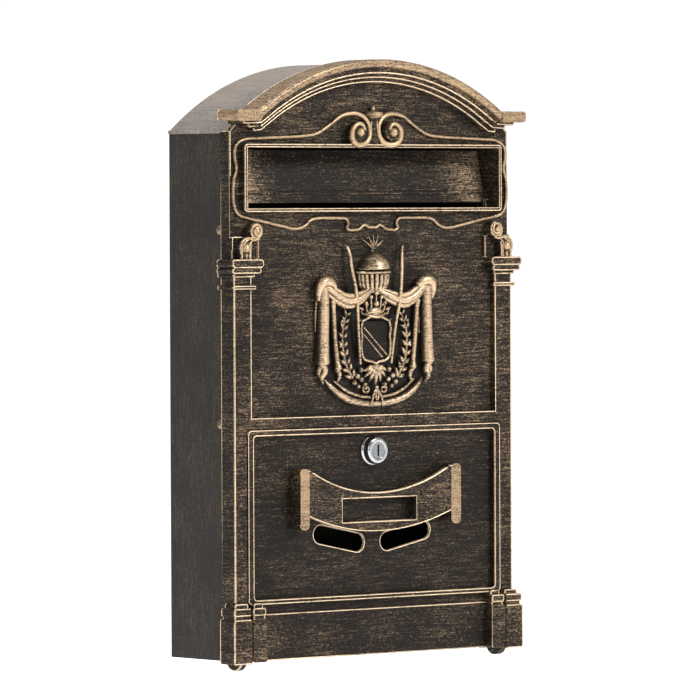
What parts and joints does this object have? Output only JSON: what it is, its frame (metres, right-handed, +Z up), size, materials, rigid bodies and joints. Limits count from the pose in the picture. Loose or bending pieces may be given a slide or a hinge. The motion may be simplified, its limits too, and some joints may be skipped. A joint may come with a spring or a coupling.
{
  "type": "wall mounted mailbox",
  "caption": "Upright sheet metal mailbox with an arched roof and a cast classical front: recessed letter flap, raised crest, bottom hinged door with cam lock and bow handle.",
  "frame": {"origin": "centre of the four wall screw holes, on the rear face of the back panel", "axes": "+X to the right as the front is seen, -Y out of the front, +Z up"},
  "size_m": [0.259, 0.0814, 0.41],
  "materials": {
    "black_sheet": "satin black powder coat, faint vertical bronze dry brushing",
    "grey_black_sheet": "satin grey-black powder coat with fine lengthwise streaks",
    "bronzed_casting": "black paint, dry brushed with antique gold on every edge and in fine streaks",
    "gilt_relief": "antique gold paint over black, dark in the hollows",
    "bronzed_rivet": "worn bare head with paint round its edge",
    "zinc_steel": "zinc plated steel",
    "spring_steel": "plain spring steel",
    "lock_chrome": "polished chrome plate",
    "lock_face": "fine satin face of the lock plug"
  },
  "bodies": {
    "box": {"back_panel": "black_sheet", "box_wrap": "black_sheet", "roof_sheet": "grey_black_sheet", "front_casting": "bronzed_casting", "side_rivets": "bronzed_rivet", "flap_rod": "zinc_steel", "rod_clips": "spring_steel", "door_hinge_pins": "zinc_steel", "crest": "gilt_relief", "crest_screws": "zinc_steel"},
    "flap": {"letter_flap": "bronzed_casting", "flap_springs": "spring_steel"},
    "door": {"door": "bronzed_casting", "handle_plate": "bronzed_casting", "handle_screws": "zinc_steel", "lock_barrel": "lock_chrome", "lock_washer": "zinc_steel", "lock_nut": "zinc_steel"},
    "lock": {"lock_plug": "lock_face", "lock_cam": "zinc_steel", "cam_screw": "zinc_steel"}
  },
  "joints": [
    {"name": "flap_hinge", "type": "hinge", "parent": "box", "child": "flap", "pos_m": [0, -0.0445, 0.146], "axis": [1, 0, 0], "range_deg": [0, 70], "stiffness_Nm_per_rad": 0.02, "springref_deg": -34.38},
    {"name": "door_hinge", "type": "hinge", "parent": "box", "child": "door", "pos_m": [0, -0.063, -0.1915], "axis": [1, 0, 0], "range_deg": [0, 100]},
    {"name": "lock_turn", "type": "hinge", "parent": "door", "child": "lock", "pos_m": [0, -0.06, -0.0552], "axis": [0, 1, 0], "range_deg": [0, 90]}
  ]
}
